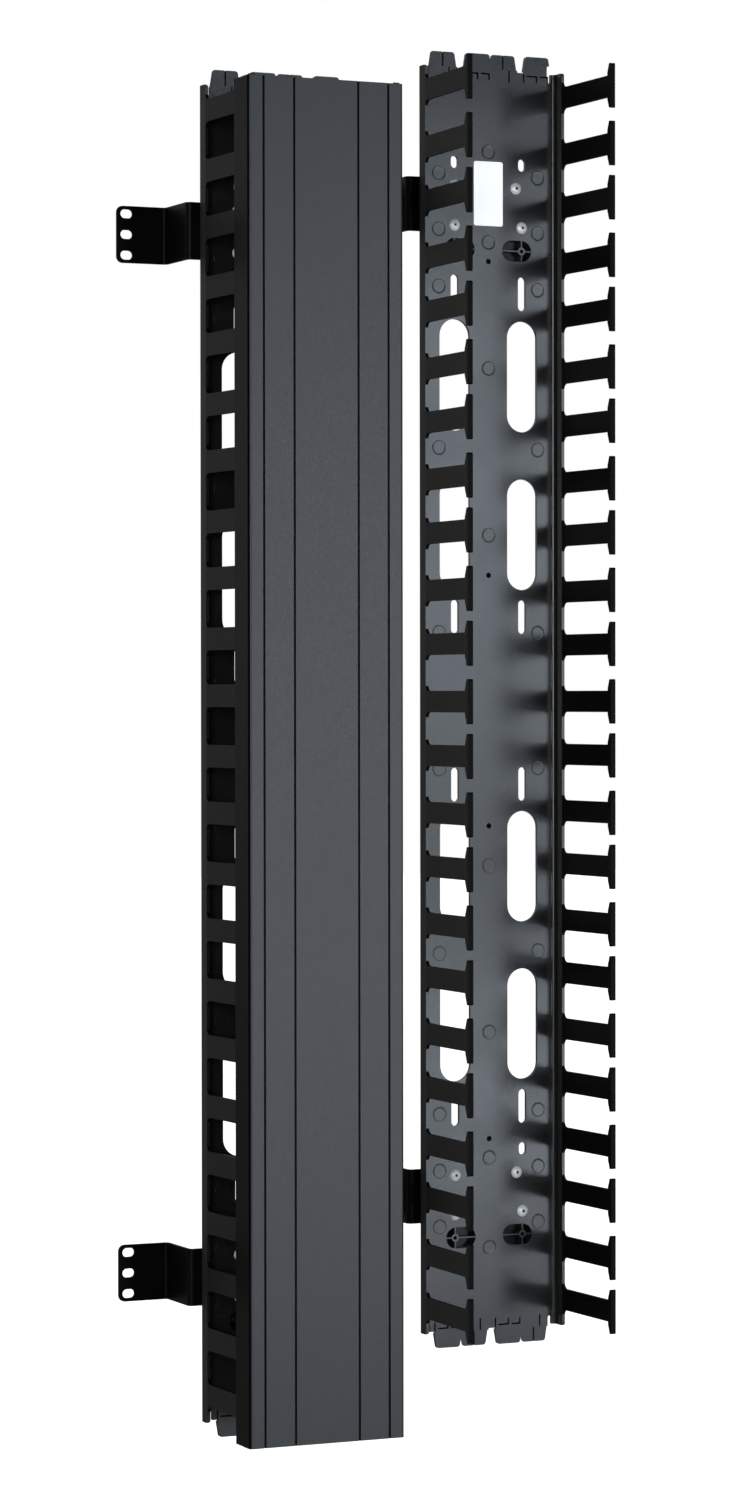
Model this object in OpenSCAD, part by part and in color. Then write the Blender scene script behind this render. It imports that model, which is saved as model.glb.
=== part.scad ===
/* [Rack spacing] */
// Height of one rack unit, which the fingers repeat
rack_unit = 44.45; // [40:0.05:50]
// Height of one section, in rack units between its end fingers
section_units = 22; // [10:2:30]
// Distance between neighbouring holes of the rack, which the bracket slots repeat
rack_hole_pitch = 15.875; // [14:0.125:17]

/* [Channel] */
// Outer width of the channel at its back
channel_w = 125; // [110:1:150]
// Depth from the rear face to the front of the fingers
channel_depth = 100; // [80:1:130]
// Thickness of the back panel
panel_t = 3.2; // [2.4:0.2:4]
// Thickness of the side walls
wall_t = 2.5; // [2:0.1:3]
// Outer radius of the two long rear corners
corner_r = 6.5; // [5:0.5:9]
// How far the solid side strips reach forward of the rear face
strip_depth = 16; // [14:0.5:24]
// How far the back panel reaches past the end fingers' centres
panel_overrun = 21.05; // [19:0.05:26]

/* [Fingers] */
// Height of a finger's neck
finger_h = 17.2; // [12:0.2:20]
// Height of the cross bar on a finger's tip
tee_h = 35.6; // [30:0.2:38]
// Depth of the cross bar at the neck
tee_depth = 5.5; // [4:0.1:8]
// Depth of the cross bar at its two ends
tee_end_depth = 3.2; // [2.4:0.1:4]
// How far the cross bar stands out past the wall's outer face
tee_barb = 0.5; // [0.2:0.1:1]
// How far the cross bar's lip reaches inward of the wall's inner face
tee_lip = 1.5; // [0.5:0.1:3]
// How far every second finger is moved from an even spacing
finger_jog = 0.68; // [0:0.02:1.5]
// Radius in the window corners at the root of a finger
root_fillet = 5; // [3:0.5:5.5]
// How far the wall of the open section leans outward at the tips
open_lean = 2.4; // [0:0.1:4]

/* [Ends] */
// Width of a joining tab at its base
tab_w = 25; // [20:0.5:26]
// How far a joining tab stands past the panel
tab_h = 13.5; // [8:0.5:20]
// How much each side of a tab tapers in over its height
tab_taper = 1.8; // [0:0.1:3]
// Thickness of a split tab, which lies behind the tab of the next section
split_tab_t = 1.5; // [1:0.1:1.6]
// Width of the slits and hook slots in the ends
slit_w = 1.3; // [0.8:0.1:1.8]

/* [Panel openings] */
// Distance of the two columns of openings from the centre line
column_x = 30.3; // [27:0.1:32]
// Width of the large cable windows
window_w = 27; // [20:1:30]
// Height of the large cable windows
window_h = 90; // [60:1:100]
// Height of the inner pair of large windows above and below the middle
inner_window_z = 134.9; // [130:0.1:140]
// Height of the outer pair of large windows above and below the middle
outer_window_z = 263.2; // [258:0.1:270]
// Width of the narrow tie slots
tie_slot_w = 7; // [5:0.5:9]
// Height of the narrow tie slots
tie_slot_h = 27.5; // [20:0.5:32]
// Height of the inner tie slots above and below the middle
inner_slot_z = 67.9; // [65:0.1:70]
// Height of the outer tie slots above and below the middle
outer_slot_z = 330.5; // [328:0.1:334]
// Width of the small upright slots above each bracket
small_slot_w = 6.5; // [4:0.1:8]
// Height of the small upright slots above each bracket
small_slot_h = 10; // [8.5:0.1:12]
// Diameter of the round holes on the centre line
centre_hole_d = 4.4; // [3:0.1:6]
// Height of the inner round holes above and below the middle
inner_hole_z = 101.6; // [90:0.1:110]
// Height of the outer round holes above and below the middle
outer_hole_z = 355.8; // [345:0.1:370]

/* [Moulded pockets] */
// Length of a pocket, across the panel
pocket_l = 26.5; // [22:0.5:30]
// Height of a pocket
pocket_h = 17; // [12:0.5:18]
// How far a pocket's cup stands behind the panel
pocket_cup = 6; // [4:0.5:10]
// Wall of a pocket's cup
pocket_wall = 1.6; // [1.2:0.1:2]
// Thickness of the ribs that cross a pocket
rib_t = 1; // [0.8:0.1:1.6]
// Outer diameter of the screw boss in a pocket
boss_d = 6.5; // [5.5:0.1:8]
// Bore of the screw boss
boss_bore_d = 3; // [2:0.1:4]
// How far a pocket's screw boss sits outboard of its centre
boss_offset = 4.8; // [0:0.1:6]
// Distance of the pocket and the small oval hole from the bracket's centre
station_reach = 34.9; // [34.5:0.1:40]

/* [Brackets] */
// Thickness of the bracket's steel
bracket_t = 2; // [1.5:0.1:3]
// Height of a bracket
bracket_h = 43.8; // [38:0.2:46]
// Distance from the channel's rear face to the face that meets the rack
bracket_standoff = 47; // [30:1:60]
// Distance of the bracket's leg from the centre line
bracket_leg_x = 71; // [66:0.5:78]
// Distance of the rack slots from the centre line
rack_slot_x = 103; // [95:0.5:115]
// Distance from the rack slots to the bracket's outer edge
bracket_margin = 8; // [6:0.5:12]
// How far the bracket reaches past the centre line, away from the rack
bracket_reach = 42; // [38:0.5:50]
// Outer radius of the bracket's bends
bend_r = 4; // [3:0.5:6]
// Radius of the bracket's outer corners
bracket_corner_r = 5; // [2:0.5:7]
// Height of a rack slot
rack_slot_h = 6.9; // [6.4:0.1:7.4]
// Length of a rack slot, across the bracket
rack_slot_l = 10; // [8:0.5:12]
// Distance between the two brackets, in rack units
bracket_units = 18; // [14:2:18]

/* [Rivets] */
// Diameter of a rivet's body
rivet_d = 4.8; // [4:0.1:5]
// Diameter of a rivet's dome head
rivet_head_d = 9.5; // [8:0.1:11]
// Height of a rivet's dome head
rivet_head_h = 2.3; // [1.5:0.1:3]
// Diameter of the upset end behind the bracket
rivet_tail_d = 7.4; // [6:0.1:9]
// Length of the upset end behind the bracket
rivet_tail_l = 4; // [3:0.1:6]
// Diameter of the mandrel left inside a rivet
mandrel_d = 2.6; // [2:0.1:3]
// Clearance around a rivet's body
rivet_clear = 0.05; // [0.02:0.01:0.2]
// How far the upper rivet away from the rack is set in from its column
rivet_inset = 5.4; // [0:0.1:6]

/* [Cover] */
// Outer width of the cover
cover_w = 127; // [120:0.5:150]
// Thickness of the cover
cover_t = 1.7; // [1.4:0.1:2.2]
// Height of the cover
cover_h = 1022.35; // [900:0.05:1050]
// Depth of the cover's side returns
return_depth = 28; // [15:1:40]
// Gap between the cover and the fingers' tips
cover_gap = 0.3; // [0.2:0.05:0.6]
// How far the cover's middle sits below the section's middle
cover_drop = 5; // [0:0.5:10]
// Outer radius of the cover's long corners
cover_corner_r = 2.5; // [1.8:0.1:4]
// Width of the four long grooves in the cover
groove_w = 1.8; // [1:0.1:3]
// Depth of the four long grooves in the cover
groove_depth = 0.7; // [0.3:0.1:0.9]
// Distance of the outer grooves from the centre line
outer_groove_x = 51; // [45:0.5:55]
// Distance of the inner grooves from the centre line
inner_groove_x = 26.2; // [15:0.5:35]
// Width of the band along the rear of each side return
return_band = 15; // [8:0.5:20]
// How far that band is set in
band_step = 0.4; // [0.2:0.1:0.6]

/* [Pair] */
// How far the open section stands to the right of the covered one
pair_x = 228; // [200:1:300]
// How far the open section stands behind the covered one
pair_y = 92; // [0:1:150]
// How far the open section stands above the covered one
pair_z = 41; // [0:1:100]

/* [Hidden] */
$fn = 48;
eps = 0.01;

half_w = channel_w / 2;
inner_w = half_w - wall_t;
inner_r = corner_r - panel_t;
seam_y = -strip_depth;                          // where the fingers grow out of the side strips
tip_y = -channel_depth;                         // front of the cross bars
neck_end_y = tip_y + tee_depth;                 // where a neck runs into its cross bar
panel_h = section_units * rack_unit + 2 * panel_overrun;
station_z = bracket_units * rack_unit / 2;      // height of the brackets above and below the middle
grip = panel_t + bracket_t;                     // what a rivet holds together

cover_inner = cover_w / 2 - cover_t;            // inner face of a side return
cover_back_y = tip_y - cover_gap;               // inner face of the cover's front
cover_front_y = cover_back_y - cover_t;
return_end_y = cover_front_y + return_depth;    // rear edge of a side return

// The side returns press the fingers of the covered section inward
closed_lean = cover_inner - cover_gap - tee_barb - half_w;

tab_corner_r = 2.5;
tab_step = 1.5;                                 // height of the step below a split tab
hook_x = [[-9.3, 0.5], [2.7, 10.8]];            // run of each hook slot, from a plain tab's centre
hook_drop = 5.5;
hook_edge = 1.8;                                // from the panel's end to a hook slot
slit_l = 10;                                    // of the slit in and below a split tab
foot_slit_l = 8;                                // of the slit at a plain tab's foot
slit_shift = 4.2;                               // from a split tab's slit to the slit below it
relief_w = 3.5;
relief_h = 7;
top_plain = [-9.3, 44];                         // centres of the joining tabs
top_split = [-40, 14];
bottom_plain = [-37, 17.5];
bottom_split = [-13, 41];

plastic = [0.16, 0.16, 0.17];
black_steel = [0.06, 0.06, 0.06];
alloy = [0.78, 0.78, 0.80];
dark_steel = [0.30, 0.30, 0.31];

// Height of finger i above the middle; every second finger is moved from an even spacing
function finger_z(i) =
    (i - section_units / 2) * rack_unit + (i % 2 == 0 ? finger_jog : -finger_jog);

// ---------- shared shapes ----------

// Plan outline, flat at front_y and with two round corners at back_y
module rear_rounded(half, front_y, back_y, r) {
    translate([-half, front_y]) square([2 * half, back_y - r - front_y]);
    translate([-half + r, back_y - r - eps]) square([2 * (half - r), r + eps]);
    for (s = [-1, 1]) translate([s * (half - r), back_y - r]) circle(r);
}

// Outline with round ends, longer along its second axis
module upright_slot(w, h) {
    square([w, h - w], center = true);
    for (s = [-1, 1]) translate([0, s * (h - w) / 2]) circle(d = w);
}

// Outline with round ends, longer along its first axis
module level_slot(l, h) {
    rotate(90) upright_slot(h, l);
}

// Stands an outline up: its axes become X and Z, and it fills front_y to back_y
module upright(front_y, back_y) {
    translate([0, back_y, 0]) rotate([90, 0, 0]) linear_extrude(back_y - front_y) children();
}

// Cuts an outline through the panel
module through_panel() {
    upright(-panel_t - 1, 1) children();
}

// ---------- back channel ----------

module channel_plan() {
    difference() {
        rear_rounded(half_w, seam_y, 0, corner_r);
        rear_rounded(inner_w, seam_y - 1, -panel_t, inner_r);
    }
}

// One joining tab, standing on z = 0 and centred on x = 0
module tab_outline() {
    top = tab_w / 2 - tab_taper;
    r = tab_corner_r;
    polygon([
        [-tab_w / 2, -eps], [tab_w / 2, -eps], [top, tab_h - r],
        [top - r, tab_h], [-top + r, tab_h], [-top, tab_h - r]
    ]);
    for (s = [-1, 1]) translate([s * (top - r), tab_h - r]) circle(r);
}

// Hook slot: a run along the panel's end that turns down at its far end
module hook_slot(start, end) {
    translate([start, -slit_w]) square([end - start, slit_w]);
    translate([end - slit_w, -hook_drop]) square([slit_w, hook_drop]);
    translate([end - 2 * slit_w, -2 * slit_w]) difference() {
        square([slit_w + eps, slit_w + eps]);
        circle(slit_w);
    }
}

// Slots round the foot of a plain tab that let it spring
module plain_tab_slots() {
    for (run = hook_x) translate([0, -hook_edge]) hook_slot(run[0], run[1]);
    translate([-tab_w / 2, -foot_slit_l]) square([slit_w, foot_slit_l + 1]);
}

// Joining tabs of the top end; the bottom end is this, mirrored, with its own centres
module end_tabs(plain, split) {
    translate([0, 0, panel_h / 2]) {
        for (x = plain) translate([x, 0, 0]) upright(-panel_t, 0) tab_outline();
        for (x = split) translate([x, 0, 0]) {
            difference() {
                upright(-split_tab_t, 0) tab_outline();
                upright(-panel_t, 1) translate([-slit_w / 2, tab_step]) square([slit_w, tab_h]);
            }
            upright(-panel_t, 0) translate([-tab_w / 2, -eps]) square([tab_w, tab_step + eps]);
        }
    }
}

// Slits, hooks and corner reliefs in the same end
module end_cuts(plain, split) {
    translate([0, 0, panel_h / 2]) {
        through_panel() for (x = plain) translate([x, 0]) plain_tab_slots();
        through_panel() for (x = split)
            translate([x + slit_shift, -slit_l + tab_step]) square([slit_w, slit_l]);
        through_panel() for (s = [-1, 1])
            translate([s * (inner_w - inner_r - relief_w / 2), 0]) upright_slot(relief_w, 2 * relief_h);
        // round the front corner of each side strip
        for (s = [-1, 1]) translate([s * half_w, seam_y, 0]) rotate([0, -90 * s, 0])
            linear_extrude(2 * wall_t, center = true) difference() {
                translate([-tab_corner_r, -1]) square([tab_corner_r + 1, tab_corner_r + 1]);
                translate([-tab_corner_r, tab_corner_r]) circle(tab_corner_r);
            }
    }
}

// Where each row of the panel's openings sits, at both sides of the middle
module both_heights(z) {
    for (s = [-1, 1]) translate([0, s * z]) children();
}

module both_columns() {
    for (s = [-1, 1]) translate([s * column_x, 0]) children();
}

module panel_openings() {
    both_columns() {
        both_heights(inner_window_z) upright_slot(window_w, window_h);
        both_heights(outer_window_z) upright_slot(window_w, window_h);
        both_heights(inner_slot_z) upright_slot(tie_slot_w, tie_slot_h);
        both_heights(outer_slot_z) upright_slot(tie_slot_w, tie_slot_h);
    }
    both_heights(inner_hole_z) circle(d = centre_hole_d);
    both_heights(outer_hole_z) circle(d = centre_hole_d);
}

// The two columns of rivets at one bracket
module rivet_places() {
    for (sx = [-1, 1], sz = [-1, 1])
        translate([sx * column_x - (sx > 0 && sz > 0 ? rivet_inset : 0), 0, sz * rack_hole_pitch])
            children();
}

// Centres of the two pockets below a bracket
module pocket_places() {
    for (s = [-1, 1]) translate([s * (column_x - boss_offset), 0, -station_reach])
        mirror([s < 0 ? 1 : 0, 0, 0]) children();
}

// Closed cup behind the panel, with its ribs and screw boss
module pocket() {
    floor_y = pocket_cup - pocket_wall;
    front_y = -panel_t + 0.5;
    difference() {
        upright(-panel_t / 2, pocket_cup) level_slot(pocket_l + 2 * pocket_wall, pocket_h + 2 * pocket_wall);
        upright(-panel_t, floor_y) level_slot(pocket_l, pocket_h);
    }
    difference() {
        upright(front_y, floor_y + eps) {
            intersection() {
                level_slot(pocket_l + eps, pocket_h + eps);
                union() {
                    square([pocket_l + 1, rib_t], center = true);
                    translate([boss_offset, 0]) square([rib_t, pocket_h + 1], center = true);
                }
            }
            translate([boss_offset, 0]) circle(d = boss_d);
        }
        translate([boss_offset, 0, 0]) upright(-panel_t, floor_y) circle(d = boss_bore_d);
    }
}

module back_channel() {
    color(plastic) {
        difference() {
            union() {
                linear_extrude(panel_h, center = true) channel_plan();
                end_tabs(top_plain, top_split);
                mirror([0, 0, 1]) end_tabs(bottom_plain, bottom_split);
            }
            end_cuts(top_plain, top_split);
            mirror([0, 0, 1]) end_cuts(bottom_plain, bottom_split);
            through_panel() panel_openings();
            for (sz = [-1, 1]) translate([0, 0, sz * station_z]) {
                rivet_places() through_panel() circle(d = rivet_d + 2 * rivet_clear);
                translate([0, 0, station_reach]) through_panel() both_columns() upright_slot(small_slot_w, small_slot_h);
                pocket_places() through_panel() level_slot(pocket_l, pocket_h);
            }
        }
        for (sz = [-1, 1]) translate([0, 0, sz * station_z]) pocket_places() pocket();
    }
}

// ---------- fingers ----------

// Side view of a neck, Y then Z, with the round window corners at its root
module neck_side() {
    trim = 1;                                   // keeps the fillet's thin end from running to nothing
    translate([tip_y + tee_end_depth / 2, -finger_h / 2])
        square([seam_y - tip_y - tee_end_depth / 2, finger_h]);
    for (s = [-1, 1]) scale([1, s]) translate([seam_y - root_fillet, finger_h / 2 - eps]) difference() {
        square([root_fillet, root_fillet - trim + eps]);
        translate([0, root_fillet]) circle(root_fillet);
    }
}

// Side view of a cross bar, deepest at the neck and round at both ends
module tee_side() {
    end_z = tee_h / 2 - tee_end_depth / 2;
    shoulder_z = finger_h / 2 + 2;
    polygon([
        [tip_y, -end_z], [tip_y, end_z], [tip_y + tee_end_depth, end_z], [neck_end_y, shoulder_z],
        [neck_end_y + 1.5, finger_h / 2], [neck_end_y + 1.5, -finger_h / 2],
        [neck_end_y, -shoulder_z], [tip_y + tee_end_depth, -end_z]
    ]);
    for (s = [-1, 1]) translate([tip_y + tee_end_depth / 2, s * end_z]) circle(d = tee_end_depth);
}

// Plan of a neck at +X: it leaves the strip flush and leans by lean at its end
module neck_plan(lean) {
    polygon([
        [inner_w, seam_y], [half_w, seam_y], [half_w + lean, neck_end_y],
        [half_w + lean, tip_y], [inner_w + lean, tip_y], [inner_w + lean, neck_end_y]
    ]);
}

// Plan of a cross bar at +X, with its outer barb and inner lip
module tee_plan(lean) {
    polygon([
        [inner_w + lean - tee_lip, tip_y], [half_w + lean, tip_y], [half_w + lean + tee_barb, tip_y + tee_barb],
        [half_w + lean + tee_barb, neck_end_y], [half_w + lean, neck_end_y + 1.5],
        [inner_w + lean, neck_end_y + 1.5], [inner_w + lean - tee_lip, neck_end_y]
    ]);
}

// Solid whose plan is the first child and whose side view is the second
module plan_and_side(h) {
    intersection() {
        linear_extrude(h, center = true) children(0);
        rotate([90, 0, 90]) linear_extrude(channel_w) children(1);
    }
}

module finger(lean) {
    plan_and_side(tee_h + 1) {
        neck_plan(lean);
        neck_side();
    }
    plan_and_side(tee_h + 1) {
        tee_plan(lean);
        tee_side();
    }
}

// One row of fingers; side is -1 for the rack side and 1 for the far side
module finger_row(side, lean) {
    color(plastic) for (i = [0 : section_units])
        translate([0, 0, finger_z(i)]) mirror([side < 0 ? 1 : 0, 0, 0]) finger(lean);
}

// ---------- brackets ----------

// Quarter of a bend about its centre, in the quadrant given by sx and sy
module bend(sx, sy) {
    intersection() {
        difference() {
            circle(bend_r);
            circle(bend_r - bracket_t);
        }
        translate([sx < 0 ? -bend_r : 0, sy < 0 ? -bend_r : 0]) square(bend_r);
    }
}

// Plan of the Z shape: web behind the panel, leg back to the rack, flange on the rack
module bracket_plan() {
    leg_back_y = bracket_standoff - bend_r;
    web_x = -bracket_leg_x + bend_r;            // where the web runs into its bend
    flange_x = -bracket_leg_x + bracket_t - bend_r;
    edge_x = -rack_slot_x - bracket_margin;
    translate([web_x, 0]) square([bracket_reach - web_x, bracket_t]);
    translate([web_x, bend_r]) bend(-1, -1);
    translate([-bracket_leg_x, bend_r]) square([bracket_t, leg_back_y - bend_r]);
    translate([flange_x, leg_back_y]) bend(1, 1);
    translate([edge_x, bracket_standoff - bracket_t]) square([flange_x - edge_x, bracket_t]);
}

// Front view of the blank with its four round corners
module bracket_front() {
    left = -rack_slot_x - bracket_margin;
    r = bracket_corner_r;
    translate([left + r, -bracket_h / 2]) square([bracket_reach - left - 2 * r, bracket_h]);
    translate([left, -bracket_h / 2 + r]) square([bracket_reach - left, bracket_h - 2 * r]);
    for (x = [left + r, bracket_reach - r], s = [-1, 1])
        translate([x, s * (bracket_h / 2 - r)]) circle(r);
}

module z_bracket() {
    color(black_steel) difference() {
        intersection() {
            linear_extrude(bracket_h + 1, center = true) bracket_plan();
            upright(-1, bracket_standoff + 1) bracket_front();
        }
        for (i = [-1 : 1]) translate([-rack_slot_x, 0, i * rack_hole_pitch])
            upright(bracket_t, bracket_standoff + 1) level_slot(rack_slot_l, rack_slot_h);
        rivet_places() upright(-1, bracket_t + 1) circle(d = rivet_d + 2 * rivet_clear);
    }
}

// ---------- rivets ----------

// Blind rivet along Z: the head stands on z = 0 and the body goes down through the grip
module rivet() {
    dome_r = (pow(rivet_head_d / 2, 2) + pow(rivet_head_h, 2)) / (2 * rivet_head_h);
    edge = 1;
    difference() {
        union() {
            intersection() {
                translate([0, 0, rivet_head_h - dome_r]) sphere(dome_r);
                cylinder(d = rivet_head_d + 1, h = rivet_head_h + 1);
            }
            translate([0, 0, -grip - 1]) cylinder(d = rivet_d, h = grip + 1.2);
            translate([0, 0, -grip - rivet_tail_l]) rotate_extrude() {
                square([rivet_tail_d / 2 - edge, rivet_tail_l]);
                translate([0, edge]) square([rivet_tail_d / 2, rivet_tail_l - 2 * edge]);
                for (z = [edge, rivet_tail_l - edge]) translate([rivet_tail_d / 2 - edge, z]) circle(edge);
            }
        }
        translate([0, 0, -grip - rivet_tail_l - 1])
            cylinder(d = mandrel_d, h = grip + rivet_tail_l + rivet_head_h + 2);
    }
}

// What is left of the mandrel: the pulled head behind the rivet and the broken stem inside it
module mandrel() {
    stem_d = mandrel_d - 2 * rivet_clear;
    head_r = rivet_tail_d / 2 - 1.4;
    recess = 1;                                 // from the top of the dome down to the break
    translate([0, 0, -grip - rivet_tail_l - eps])
        cylinder(d = stem_d, h = grip + rivet_tail_l + rivet_head_h - recess + eps);
    translate([0, 0, -grip - rivet_tail_l]) intersection() {
        sphere(head_r);
        translate([0, 0, -head_r - 1]) cylinder(r = head_r + 1, h = head_r + 1);
    }
}

// Stands the fasteners of one bracket in their holes
module in_rivet_places() {
    rivet_places() translate([0, -panel_t, 0]) rotate([90, 0, 0]) children();
}

// ---------- cover ----------

module cover_plan() {
    difference() {
        mirror([0, 1]) rear_rounded(cover_w / 2, -return_end_y, -cover_front_y, cover_corner_r);
        translate([-cover_inner, cover_back_y]) square([2 * cover_inner, return_depth]);
        for (s = [-1, 1]) {
            for (x = [outer_groove_x, inner_groove_x])
                translate([s * x - groove_w / 2, cover_front_y - 1]) square([groove_w, groove_depth + 1]);
            scale([s, 1]) translate([cover_w / 2 - band_step, return_end_y - return_band])
                square([1, return_band + 1]);
        }
    }
}

module cover() {
    color(plastic) translate([0, 0, -cover_drop]) linear_extrude(cover_h, center = true) cover_plan();
}

// ---------- one section, piece by piece ----------

module at_station(s) {
    translate([0, 0, s * station_z]) children();
}

module bracket_at(s) {
    at_station(s) z_bracket();
}

module rivets_at(s) {
    color(alloy) at_station(s) in_rivet_places() rivet();
}

module mandrels_at(s) {
    color(dark_steel) at_station(s) in_rivet_places() mandrel();
}

// Place of the open section
module open_section() {
    translate([pair_x, pair_y, pair_z]) children();
}

back_channel();  // left_back_channel
finger_row(-1, closed_lean);  // left_rack_side_fingers
finger_row(1, closed_lean);  // left_far_side_fingers
bracket_at(1);  // left_upper_bracket
bracket_at(-1);  // left_lower_bracket
rivets_at(1);  // left_upper_rivets
rivets_at(-1);  // left_lower_rivets
mandrels_at(1);  // left_upper_mandrels
mandrels_at(-1);  // left_lower_mandrels
cover();  // left_cover
open_section() back_channel();  // right_back_channel
open_section() finger_row(-1, open_lean);  // right_rack_side_fingers
open_section() finger_row(1, open_lean);  // right_far_side_fingers
open_section() bracket_at(1);  // right_upper_bracket
open_section() bracket_at(-1);  // right_lower_bracket
open_section() rivets_at(1);  // right_upper_rivets
open_section() rivets_at(-1);  // right_lower_rivets
open_section() mandrels_at(1);  // right_upper_mandrels
open_section() mandrels_at(-1);  // right_lower_mandrels
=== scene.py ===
"""Looks of the vertical cable manager: two sections, one covered and one open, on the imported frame."""

import math

import bmesh
import bpy
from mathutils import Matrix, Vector


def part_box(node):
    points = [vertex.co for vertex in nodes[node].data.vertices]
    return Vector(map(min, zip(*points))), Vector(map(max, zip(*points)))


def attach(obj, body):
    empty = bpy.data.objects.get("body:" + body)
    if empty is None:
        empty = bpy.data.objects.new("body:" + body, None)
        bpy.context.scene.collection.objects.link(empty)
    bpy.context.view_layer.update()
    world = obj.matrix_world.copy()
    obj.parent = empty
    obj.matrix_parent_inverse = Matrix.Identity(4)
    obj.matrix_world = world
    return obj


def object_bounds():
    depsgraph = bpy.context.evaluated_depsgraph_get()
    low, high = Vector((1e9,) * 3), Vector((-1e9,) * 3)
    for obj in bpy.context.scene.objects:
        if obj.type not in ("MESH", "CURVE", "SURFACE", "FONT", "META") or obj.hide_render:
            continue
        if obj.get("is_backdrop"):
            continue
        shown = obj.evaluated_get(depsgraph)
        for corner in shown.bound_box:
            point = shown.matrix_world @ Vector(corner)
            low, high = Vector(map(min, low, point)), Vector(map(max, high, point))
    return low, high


MM = 0.001
SIDES = ("left", "right")

# Sizes that repeat part.scad's, in metres
PANEL_T = 3.2 * MM
TAB_H = 13.5 * MM
GROOVE_DEPTH = 0.7 * MM

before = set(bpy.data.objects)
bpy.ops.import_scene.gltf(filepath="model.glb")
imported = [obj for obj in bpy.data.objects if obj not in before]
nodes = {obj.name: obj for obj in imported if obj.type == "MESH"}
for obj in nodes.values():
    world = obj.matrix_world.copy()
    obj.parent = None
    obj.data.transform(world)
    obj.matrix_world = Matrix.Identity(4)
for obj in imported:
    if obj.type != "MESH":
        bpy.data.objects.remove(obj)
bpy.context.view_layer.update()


# ---------- where things are ----------

def section_origin(side):
    """Centre of a section's rear face, which lies on the panel's back and halfway up."""
    low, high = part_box(f"{side}_back_channel")
    web_low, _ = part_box(f"{side}_upper_bracket")
    return Vector(((low.x + high.x) / 2, web_low.y, (low.z + high.z) / 2))


ORIGIN = {side: section_origin(side) for side in SIDES}
CHANNEL_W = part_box("left_back_channel")[1].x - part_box("left_back_channel")[0].x
COVER_FRONT_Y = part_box("left_cover")[0].y


# ---------- node helpers ----------

class Shader:
    """A material's node tree with short names for the nodes that the finishes here need."""

    def __init__(self, name):
        self.material = bpy.data.materials.new(name)
        self.material.use_nodes = True
        self.tree = self.material.node_tree
        self.bsdf = self.tree.nodes["Principled BSDF"]
        self.place = self.add("ShaderNodeTexCoord").outputs["Object"]
        self.normal = self.add("ShaderNodeNewGeometry").outputs["Normal"]

    def add(self, kind, **settings):
        node = self.tree.nodes.new(kind)
        for name, value in settings.items():
            setattr(node, name, value)
        return node

    def wire(self, value, socket):
        if hasattr(value, "is_output"):
            self.tree.links.new(value, socket)
        elif isinstance(value, tuple):
            socket.default_value = value[:len(socket.default_value)]
        else:
            socket.default_value = value

    def math(self, operation, first, second=0.0, third=0.0):
        node = self.add("ShaderNodeMath", operation=operation)
        for socket, value in zip(node.inputs, (first, second, third)):
            self.wire(value, socket)
        return node.outputs[0]

    def axis(self, vector, name):
        node = self.add("ShaderNodeSeparateXYZ")
        self.wire(vector, node.inputs[0])
        return node.outputs[name]

    def ramp(self, value, low, high, from_value=0.0, to_value=1.0):
        """Runs from from_value at low to to_value at high, and no further."""
        node = self.add("ShaderNodeMapRange", interpolation_type="SMOOTHSTEP")
        for name, number in (("Value", value), ("From Min", low), ("From Max", high),
                             ("To Min", from_value), ("To Max", to_value)):
            self.wire(number, node.inputs[name])
        return node.outputs["Result"]

    def noise(self, scale, detail=2.0, stretch=(1.0, 1.0, 1.0), roughness=0.5):
        """Noise of about one feature per 1/scale metres, drawn out where stretch is below 1."""
        mapping = self.add("ShaderNodeMapping")
        mapping.inputs["Scale"].default_value = stretch
        self.wire(self.place, mapping.inputs["Vector"])
        node = self.add("ShaderNodeTexNoise")
        self.wire(mapping.outputs[0], node.inputs["Vector"])
        node.inputs["Scale"].default_value = scale
        node.inputs["Detail"].default_value = detail
        node.inputs["Roughness"].default_value = roughness
        return node.outputs["Fac"]

    def mix(self, share, first, second):
        """Colour that runs from first to second as share runs from 0 to 1."""
        node = self.add("ShaderNodeMix", data_type="RGBA")
        self.wire(share, node.inputs["Factor"])
        self.wire(first, node.inputs[6])
        self.wire(second, node.inputs[7])
        return node.outputs[2]

    def shade(self, colour, noise, amount):
        """The colour made up to amount lighter or darker by the noise."""
        factor = self.ramp(noise, 0.3, 0.7, 1 - amount, 1 + amount)
        node = self.add("ShaderNodeVectorMath", operation="SCALE")
        self.wire(colour, node.inputs[0])
        self.wire(factor, node.inputs["Scale"])
        return node.outputs[0]

    def bump(self, height, distance, strength=1.0, normal=None):
        node = self.add("ShaderNodeBump")
        node.inputs["Distance"].default_value = distance
        node.inputs["Strength"].default_value = strength
        self.wire(height, node.inputs["Height"])
        if normal is not None:
            self.wire(normal, node.inputs["Normal"])
        return node.outputs[0]

    def finish(self, colour, roughness, normal=None, specular=0.5, metallic=0.0):
        self.wire(colour, self.bsdf.inputs["Base Color"])
        self.wire(roughness, self.bsdf.inputs["Roughness"])
        self.wire(specular, self.bsdf.inputs["Specular IOR Level"])
        self.bsdf.inputs["Metallic"].default_value = metallic
        if normal is not None:
            self.wire(normal, self.bsdf.inputs["Normal"])
        return self.material


def grey(value, warmth=0.0):
    """A grey of that linear value, turned towards brown by warmth or towards blue by a negative one."""
    return (value * (1 + warmth), value, value * (1 - warmth), 1.0)


def outward(shader, centre_x):
    """1 on faces that look away from the section's middle plane, 0 on all others."""
    from_middle = shader.math("SUBTRACT", shader.axis(shader.place, "X"), centre_x)
    product = shader.math("MULTIPLY", from_middle, shader.axis(shader.normal, "X"))
    return shader.ramp(product, 0.4 * CHANNEL_W / 2, 0.8 * CHANNEL_W / 2)


# ---------- finishes ----------

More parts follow.
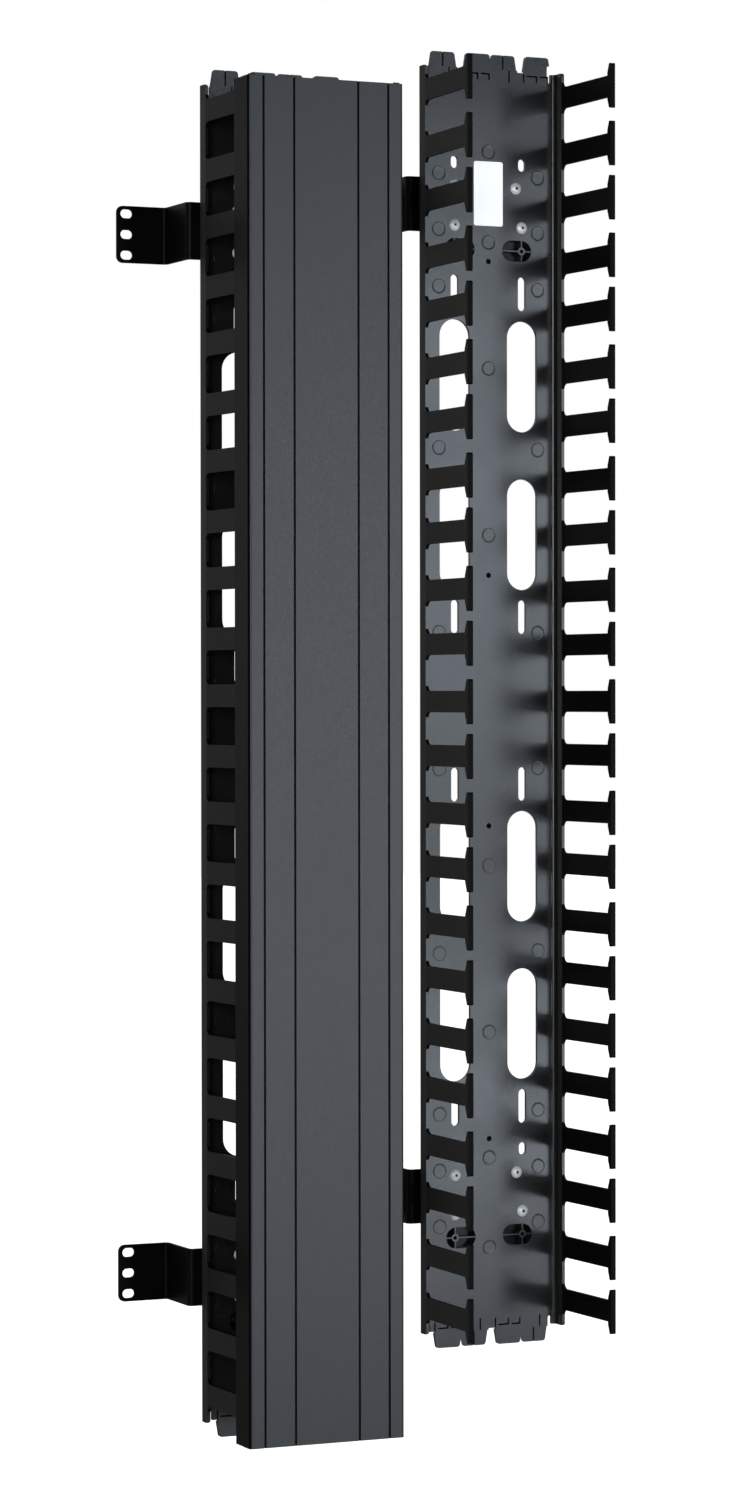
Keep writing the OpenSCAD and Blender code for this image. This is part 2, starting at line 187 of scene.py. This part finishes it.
PANEL_GLOSS = 0.5       # specular level of the glossy mouldings
COVER_GLOSS = 0.4
DULLED = -0.36          # what a textured wall loses of it; grooves and deep floors lose it too, with their painted shade

def channel_finish(side):
    """Glossy moulded panel with textured outer walls; the floors in the pockets' cups are painted
    near-black as shade.
    """
    s = Shader(f"{side}_channel_plastic")
    outside = outward(s, ORIGIN[side].x)
    cloud = s.noise(14, 3)
    grain = s.noise(2600, 2)
    level = s.math("SUBTRACT", s.axis(s.place, "Y"), ORIGIN[side].y)
    below_panel = s.ramp(level, -PANEL_T / 2, 0.0)
    facing = s.math("MULTIPLY", s.axis(s.normal, "Y"), -1.0)
    # painted shade: cup floors behind the panel that face the camera are coloured near-black and lose
    # their gloss
    shaded_cup_floor = s.math("MULTIPLY", below_panel, s.ramp(facing, 0.0, 0.5))
    plastic = s.mix(outside, grey(0.014, -0.06), grey(0.018, 0.04))
    colour = s.mix(shaded_cup_floor, s.shade(plastic, cloud, 0.14), grey(0.002))
    smooth = s.ramp(cloud, 0.3, 0.7, 0.2, 0.26)
    roughness = s.math("MULTIPLY_ADD", outside, 0.3, smooth)
    gloss = s.math("MULTIPLY_ADD", s.math("MAXIMUM", outside, shaded_cup_floor), DULLED, PANEL_GLOSS)
    relief = s.bump(s.noise(260, 2), 0.00006, 0.5)
    return s.finish(colour, roughness, s.bump(grain, 0.00002, 0.5, relief), specular=gloss)


def finger_finish(side):
    """Black moulded fingers, with the same texture on their outer faces."""
    s = Shader(f"{side}_finger_plastic")
    outside = outward(s, ORIGIN[side].x)
    cloud = s.noise(20, 3)
    colour = s.shade(s.mix(outside, grey(0.002), grey(0.014, 0.05)), cloud, 0.12)
    roughness = s.math("MULTIPLY_ADD", cloud, 0.1, 0.48)
    return s.finish(colour, roughness, s.bump(s.noise(2600, 2), 0.00002, 0.5), specular=0.08)


def cover_finish():
    """Extruded cover: fine lengthwise lines on its front and darker, duller side faces; its grooves are
    painted near-black as shade.
    """
    s = Shader("cover_plastic")
    lines = s.noise(1500, 3, stretch=(1.0, 1.0, 0.02))
    speckle = s.noise(700, 3)
    depth = s.math("SUBTRACT", s.axis(s.place, "Y"), COVER_FRONT_Y)
    # painted shade: groove floors below the front face are coloured near-black and lose their gloss
    shaded_groove = s.ramp(depth, 0.2 * GROOVE_DEPTH, 0.7 * GROOVE_DEPTH)
    on_side = s.ramp(s.math("ABSOLUTE", s.axis(s.normal, "X")), 0.3, 0.9)
    plastic = s.mix(on_side, grey(0.03, -0.05), grey(0.016, 0.03))
    colour = s.mix(shaded_groove, s.shade(s.shade(plastic, speckle, 0.1), lines, 0.08), grey(0.001))
    roughness = s.ramp(speckle, 0.3, 0.7, 0.34, 0.42)
    gloss = s.math("MULTIPLY_ADD", s.math("MAXIMUM", shaded_groove, on_side), DULLED, COVER_GLOSS)
    relief = s.bump(lines, 0.00003, 0.6)
    return s.finish(colour, roughness, s.bump(speckle, 0.00004, 0.5, relief), specular=gloss)


def bracket_finish():
    """Black powder coat with a fine orange peel."""
    s = Shader("black_powder_coat")
    peel = s.noise(900, 2)
    colour = s.shade(grey(0.002), s.noise(30, 2), 0.2)
    roughness = s.ramp(peel, 0.3, 0.7, 0.36, 0.46)
    return s.finish(colour, roughness, s.bump(peel, 0.00004, 0.6), specular=0.08)


def rivet_finish():
    """Bright drawn aluminium."""
    s = Shader("bright_aluminium")
    scuffs = s.noise(1800, 3)
    colour = s.shade(grey(0.9, -0.01), scuffs, 0.05)
    roughness = s.ramp(scuffs, 0.3, 0.7, 0.36, 0.46)
    return s.finish(colour, roughness, s.bump(scuffs, 0.00002, 0.4), metallic=0.25)


def mandrel_finish():
    """Broken steel stem, dark and rough at its break."""
    s = Shader("broken_steel")
    grain = s.noise(3000, 3)
    colour = s.shade(grey(0.06, 0.04), grain, 0.3)
    return s.finish(colour, s.ramp(grain, 0.3, 0.7, 0.45, 0.65), s.bump(grain, 0.0001, 0.8), metallic=1.0)


def label_finish():
    """Plain coated paper with a painted glow: emission keeps it as white as in a bright studio."""
    s = Shader("blank_label_paper")
    fibre = s.noise(1200, 4)
    colour = s.shade(grey(0.92, -0.01), fibre, 0.015)
    # painted glow: the paper emits its own colour at half strength
    s.wire(colour, s.bsdf.inputs["Emission Color"])
    s.bsdf.inputs["Emission Strength"].default_value = 0.5
    return s.finish(colour, s.ramp(fibre, 0.3, 0.7, 0.5, 0.6), s.bump(fibre, 0.00001, 0.4), specular=0.3)


def painted_slit_shade():
    """Near-black painted shade for the depth of a slit, where no light reaches."""
    s = Shader("slit_painted_shade")
    return s.finish(s.shade(grey(0.001), s.noise(900, 2), 0.2), 0.6, specular=0.05)


def dress(node, material):
    """Puts one finish on a CAD node."""
    mesh = nodes[node].data
    mesh.materials.clear()
    mesh.materials.append(material)


steel = bracket_finish()
aluminium = rivet_finish()
broken_steel = mandrel_finish()
channel_plastic = {}
for side in SIDES:
    channel_plastic[side] = channel_finish(side)
    dress(f"{side}_back_channel", channel_plastic[side])
    fingers = finger_finish(side)
    for row in ("rack_side", "far_side"):
        dress(f"{side}_{row}_fingers", fingers)
    for station in ("upper", "lower"):
        dress(f"{side}_{station}_bracket", steel)
        dress(f"{side}_{station}_rivets", aluminium)
        dress(f"{side}_{station}_mandrels", broken_steel)
dress("left_cover", cover_finish())


# ---------- pieces that only the looks need ----------

def piece(name, mesh_data, material, body):
    """Turns a bmesh into a piece that rides on a body."""
    mesh = bpy.data.meshes.new(name)
    mesh_data.to_mesh(mesh)
    mesh_data.free()
    mesh.materials.append(material)
    item = bpy.data.objects.new(name, mesh)
    bpy.context.scene.collection.objects.link(item)
    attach(item, body)
    return item


def block(mesh_data, low, high):
    """Adds a box between two corners and gives back its corner points."""
    points = bmesh.ops.create_cube(mesh_data, size=1.0)["verts"]
    bmesh.ops.scale(mesh_data, vec=high - low, verts=points)
    bmesh.ops.translate(mesh_data, vec=(low + high) / 2, verts=points)
    return points


def turned(mesh_data, centre, profile, steps=32):
    """Adds a form turned about -Y at centre; profile lists radius and height, from the middle out."""
    rings = []
    for radius, height in profile:
        ring = []
        for k in range(steps):
            angle = 2 * math.pi * k / steps
            place = centre + Vector((radius * math.cos(angle), -height, radius * math.sin(angle)))
            ring.append(mesh_data.verts.new(place))
        rings.append(ring)
    for inner, outer in zip(rings, rings[1:]):
        for k in range(steps):
            nxt = (k + 1) % steps
            face = mesh_data.faces.new((inner[k], inner[nxt], outer[nxt], outer[k]))
            face.smooth = True
    mesh_data.faces.new(rings[0][::-1])


# Ejector marks: heights above and below the middle, in the two side columns and on the centre line
EJECTOR_R = 5.7 * MM
EJECTOR_X = 44.5 * MM
EJECTOR_SIDE_Z = [z * MM for z in (55, 204, 334, 380, 425)]
EJECTOR_CENTRE_Z = [z * MM for z in (134, 269, 371, 444)]
MARK_H = 0.16 * MM
MARK_EDGE = 0.5 * MM


def ejector_marks(side):
    """Shallow round marks that the mould's ejector pins leave on the panel, each with a fine rim."""
    marks = bmesh.new()
    places = [(x, s * z) for x in (-EJECTOR_X, EJECTOR_X) for z in EJECTOR_SIDE_Z for s in (-1, 1)]
    places += [(0.0, s * z) for z in EJECTOR_CENTRE_Z for s in (-1, 1)]
    profile = [
        (EJECTOR_R - 2.4 * MARK_EDGE, 0.3 * MARK_H), (EJECTOR_R - 1.2 * MARK_EDGE, 0.35 * MARK_H),
        (EJECTOR_R - 0.6 * MARK_EDGE, MARK_H), (EJECTOR_R, MARK_H), (EJECTOR_R + MARK_EDGE, -0.05 * MM),
    ]
    for x, z in places:
        turned(marks, ORIGIN[side] + Vector((x, -PANEL_T, z)), profile)
    piece(f"{side}_ejector_marks", marks, channel_plastic[side], "sections")


# The open section's label, without any print
LABEL_W = 26 * MM
LABEL_H = 52 * MM
LABEL_Z = 410.6 * MM
LABEL_T = 0.12 * MM
LABEL_CORNER = 0.8 * MM


def blank_label(side):
    low = ORIGIN[side] + Vector((-LABEL_W / 2, -PANEL_T - LABEL_T, LABEL_Z - LABEL_H / 2))
    label = bmesh.new()
    block(label, low, low + Vector((LABEL_W, LABEL_T, LABEL_H)))
    upright = [e for e in label.edges if abs(e.verts[0].co.y - e.verts[1].co.y) > LABEL_T / 2]
    bmesh.ops.bevel(label, geom=upright, offset=LABEL_CORNER, segments=4, affect="EDGES")
    piece(f"{side}_blank_label", label, label_finish(), "sections")


# Slits and hook slots of the ends, in millimetres: the tabs' centres for the top and the bottom end,
# then a box round each slit, as its range of x and z from the middle of the tab's foot
PANEL_END = (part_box("left_back_channel")[1].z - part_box("left_back_channel")[0].z) / 2 - TAB_H
PLAIN_TABS = {1: (-9.3, 44.0), -1: (-37.0, 17.5)}
SPLIT_TABS = {1: (-40.0, 14.0), -1: (-13.0, 41.0)}
PLAIN_SLITS = [(-9.8, 11.3, -7.8, -1.3), (-12.9, -10.8, -8.5, -0.3)]
SPLIT_FOOT_SLIT = (3.8, 5.9, -9.0, 1.2)
SPLIT_TAB_SLIT = (-1.2, 1.2, 1.0, 13.1)
CENTRE_HOLES = (101.6, 355.8)
FLOOR_LEVEL = -1.4
TAB_FLOOR_LEVEL = -1.1
FLOOR_T = 0.5
HOLE_FLOOR_R = 3 * MM


def slit_shade_floors(side):
    """Near-black floors inside the end slits, the hook slots and the round centre holes: painted shade
    that keeps them from showing through.
    """
    floors = bmesh.new()

    def floor_box(end, tab_x, outline, level):
        x0, x1, z0, z1 = outline
        heights = sorted(end * (PANEL_END + z * MM) for z in (z0, z1))
        low = Vector(((tab_x + x0) * MM, level * MM, heights[0]))
        high = Vector(((tab_x + x1) * MM, (level + FLOOR_T) * MM, heights[1]))
        block(floors, ORIGIN[side] + low, ORIGIN[side] + high)

    for end in (1, -1):
        for tab_x in PLAIN_TABS[end]:
            for outline in PLAIN_SLITS:
                floor_box(end, tab_x, outline, FLOOR_LEVEL)
        for tab_x in SPLIT_TABS[end]:
            floor_box(end, tab_x, SPLIT_FOOT_SLIT, FLOOR_LEVEL)
            floor_box(end, tab_x, SPLIT_TAB_SLIT, TAB_FLOOR_LEVEL)
        for z in CENTRE_HOLES:
            turned(floors, ORIGIN[side] + Vector((0, FLOOR_LEVEL * MM, end * z * MM)),
                   [(HOLE_FLOOR_R / 3, 0), (HOLE_FLOOR_R, 0)])
    piece(f"{side}_slit_shade_floors", floors, slit_painted_shade, "sections")


# near-black painted shade for the insides of the slits, hook slots and centre holes
slit_painted_shade = painted_slit_shade()
for side in SIDES:
    ejector_marks(side)
    slit_shade_floors(side)
blank_label("right")


# ---------- camera ----------

def camera():
    data = bpy.data.cameras.new("camera")
    data.sensor_fit = "AUTO"
    data.sensor_width = 36.0
    data.lens = 103.4
    data.clip_end = 60
    view = bpy.data.objects.new("camera", data)
    view.location = (-1.3079, -3.0528, 0.0443)
    view.rotation_euler = (math.radians(90 - 0.709), math.radians(0.07), math.radians(-24.575))
    bpy.context.scene.collection.objects.link(view)
    bpy.context.scene.camera = view


# ---------- studio ----------

def soft_light(name, place, target, width, height, power, colour=(1.0, 1.0, 1.0)):
    data = bpy.data.lights.new(name, "AREA")
    data.shape = "RECTANGLE"
    data.size = width
    data.size_y = height
    data.energy = power
    data.color = colour
    lamp = bpy.data.objects.new(name, data)
    lamp.location = place
    lamp.rotation_euler = (Vector(target) - Vector(place)).to_track_quat("-Z", "Y").to_euler()
    bpy.context.scene.collection.objects.link(lamp)


BACKDROP = 0.6         # strength behind the part
ROOM = 0.02            # and on the camera's side


def backdrop_world():
    """White to the camera. To all else it is a lit backdrop behind the part and a dark room in front."""
    world = bpy.data.worlds.new("studio")
    world.use_nodes = True
    bpy.context.scene.world = world
    tree = world.node_tree
    split = tree.nodes.new("ShaderNodeSeparateXYZ")
    tree.links.new(tree.nodes.new("ShaderNodeTexCoord").outputs["Generated"], split.inputs[0])
    strength = tree.nodes.new("ShaderNodeMapRange")
    for name, number in (("From Min", -0.1), ("From Max", 0.5), ("To Min", ROOM), ("To Max", BACKDROP)):
        strength.inputs[name].default_value = number
    tree.links.new(split.outputs["Y"], strength.inputs["Value"])
    seen = tree.nodes.new("ShaderNodeMath")
    seen.operation = "MAXIMUM"
    tree.links.new(tree.nodes.new("ShaderNodeLightPath").outputs["Is Camera Ray"], seen.inputs[0])
    tree.links.new(strength.outputs["Result"], seen.inputs[1])
    background = tree.nodes["Background"]
    background.inputs["Color"].default_value = grey(1.0)
    tree.links.new(seen.outputs[0], background.inputs["Strength"])


FLOOR_DROP = 0.25      # below the part, in metres
FLOOR_REACH = 15


def floor():
    """Pale floor below the part, which the camera sees as white as the backdrop."""
    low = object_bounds()[0]
    plane = bmesh.new()
    bmesh.ops.create_grid(plane, x_segments=1, y_segments=1, size=FLOOR_REACH)
    mesh = bpy.data.meshes.new("floor")
    plane.to_mesh(mesh)
    plane.free()
    item = bpy.data.objects.new("floor", mesh)
    item.location = (0, 0, low[2] - FLOOR_DROP)
    bpy.context.scene.collection.objects.link(item)
    material = bpy.data.materials.new("pale_floor")
    material.use_nodes = True
    tree = material.node_tree
    bsdf = tree.nodes["Principled BSDF"]
    bsdf.inputs["Base Color"].default_value = grey(0.8)
    bsdf.inputs["Roughness"].default_value = 0.9
    path = tree.nodes.new("ShaderNodeLightPath")
    bsdf.inputs["Emission Color"].default_value = grey(1.0)
    tree.links.new(path.outputs["Is Camera Ray"], bsdf.inputs["Emission Strength"])
    mesh.materials.append(material)
    item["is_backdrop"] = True


COOL = (0.90, 1.0, 1.12)     # colour of the lights in STUDIO
MIDDLE = (0.12, 0.0, 0.0)    # where all lights point
# Name, place, width, height and power in watts of the cool lights. The mirror lights are one tall
# softbox, brightest low down, which the glossy panel and the cover mirror to the camera.
STUDIO = [
    ("mirror_low", (1.55, -3.05, -0.65), 0.95, 0.45, 9.2),
    ("mirror_middle", (1.55, -3.05, 0.05), 0.95, 0.35, 4.0),
    ("mirror_high", (1.55, -3.05, 0.4), 0.95, 0.35, 5.0),
    ("mirror_top", (1.55, -3.05, 0.75), 0.95, 0.35, 5.0),
    ("side_low", (2.3, -2.9, -1.1), 0.5, 0.7, 40.0),
    ("side", (2.3, -2.9, 0.0), 0.5, 1.2, 8.0),
    ("near", (0.9, -3.3, -0.3), 0.4, 1.5, 12.0),
    ("foot", (1.85, -3.05, -1.05), 0.4, 0.4, 12.0),
]
camera()
backdrop_world()
floor()
for name, place, width, height, power in STUDIO:
    soft_light(name, place, MIDDLE, width, height, power, COOL)
soft_light("front", (-2.2, -3.6, 0.4), MIDDLE, 1.5, 1.5, 60)
bpy.context.scene.view_settings.view_transform = "Standard"
